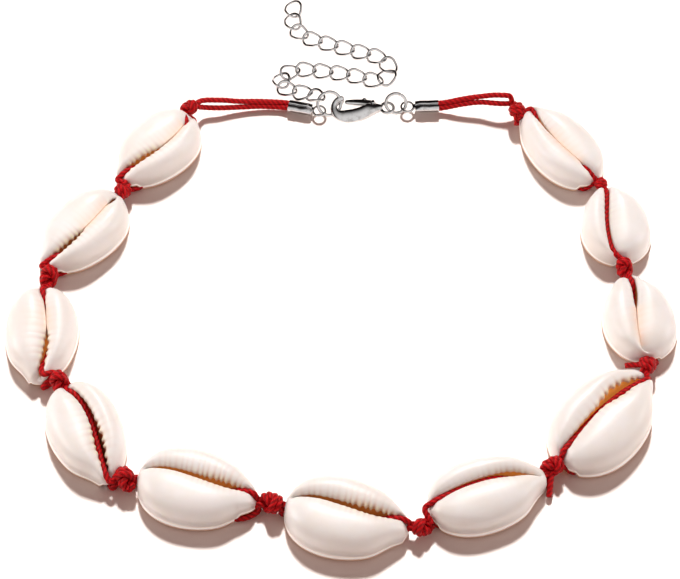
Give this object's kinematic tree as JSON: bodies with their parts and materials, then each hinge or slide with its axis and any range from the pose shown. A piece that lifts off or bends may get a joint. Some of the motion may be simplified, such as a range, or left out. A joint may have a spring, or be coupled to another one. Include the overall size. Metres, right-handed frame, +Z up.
{
  "type": "shell choker",
  "caption": "Cowrie shells knotted on a doubled waxed cord, closed by a lobster clasp with an extension chain.",
  "frame": {"origin": "middle of the whole piece's box, on the table that it lies on", "axes": "+Z up from the table along the way that the neck goes through; the clasp is at +Y, the front shells at -Y"},
  "size_m": [0.1394, 0.1404, 0.0076],
  "materials": {
    "shell": "natural glossy shell",
    "cord": "waxed twisted cotton",
    "metal": "bright silver plating"
  },
  "bodies": {
    "necklace": {"shell_01": "shell", "shell_02": "shell", "shell_03": "shell", "shell_04": "shell", "shell_05": "shell", "shell_06": "shell", "shell_07": "shell", "shell_08": "shell", "shell_09": "shell", "shell_10": "shell", "shell_11": "shell", "cord_00": "cord", "cord_01": "cord", "cord_02": "cord", "cord_03": "cord", "cord_04": "cord", "cord_05": "cord", "cord_06": "cord", "cord_07": "cord", "cord_08": "cord", "cord_09": "cord", "cord_10": "cord", "cord_11": "cord", "cord_12": "cord", "cord_end_left": "metal", "cord_end_right": "metal", "jump_ring_left": "metal", "jump_ring_right": "metal", "clasp_body": "metal", "chain_link_01": "metal", "chain_link_02": "metal", "chain_link_03": "metal", "chain_link_04": "metal", "chain_link_05": "metal", "chain_link_06": "metal", "chain_link_07": "metal", "chain_link_08": "metal", "chain_link_09": "metal", "chain_link_10": "metal", "chain_link_11": "metal", "chain_link_12": "metal", "chain_link_13": "metal", "chain_link_14": "metal", "chain_link_15": "metal", "chain_link_16": "metal", "chain_link_17": "metal", "chain_link_18": "metal", "chain_link_19": "metal", "chain_link_20": "metal"},
    "clasp_lever": {"clasp_lever": "metal"}
  },
  "joints": [
    {"name": "clasp_lever_hinge", "type": "hinge", "parent": "necklace", "child": "clasp_lever", "pos_m": [0.00703, 0.03996, 0.00135], "axis": [0, 0, 1], "range_deg": [0, 18], "stiffness_Nm_per_rad": 0.02}
  ]
}
